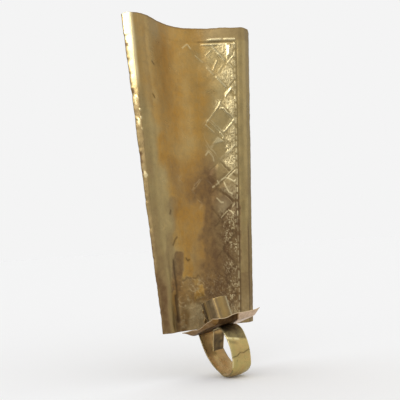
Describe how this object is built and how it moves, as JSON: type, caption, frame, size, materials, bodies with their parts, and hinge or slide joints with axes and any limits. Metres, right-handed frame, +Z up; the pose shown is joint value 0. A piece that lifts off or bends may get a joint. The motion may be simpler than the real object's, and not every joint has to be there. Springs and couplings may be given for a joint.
{
  "type": "candle wall sconce",
  "caption": "Tall tapering brass reflector plate, hollowed at the top, with a rolled scroll arm that carries a drip tray and a rolled candle cup; hangs by a ring.",
  "frame": {"origin": "middle of the hanger eye behind the plate, where the hanging ring carries the part", "axes": "+X to the viewer's right, +Y from the front towards the wall, +Z up along the plate"},
  "size_m": [0.1458, 0.0728, 0.3249],
  "materials": {
    "plate_brass": "chased sheet brass, brown and orange patina with worn bright ridges",
    "arm_brass": "worn strip brass, yellow-green outside, brown inside",
    "tray_brass": "dull brown sheet brass with bright lips",
    "cup_brass": "worn rolled sheet brass",
    "rivet_brass": "hammered brass",
    "hanger_brass": "aged drawn brass"
  },
  "bodies": {
    "sconce": {"back_plate": "plate_brass", "scroll_arm": "arm_brass", "arm_rivets": "rivet_brass", "arm_burrs": "rivet_brass", "drip_tray": "tray_brass", "tray_rivet": "rivet_brass", "tray_burr": "rivet_brass", "candle_cup": "cup_brass", "hanger_strap": "hanger_brass"},
    "ring": {"hanging_ring": "hanger_brass"}
  },
  "joints": [
    {"name": "ring_swing", "type": "hinge", "parent": "sconce", "child": "ring", "pos_m": [0, 0, 0], "axis": [1, 0, 0], "range_deg": [-4, 170]}
  ]
}
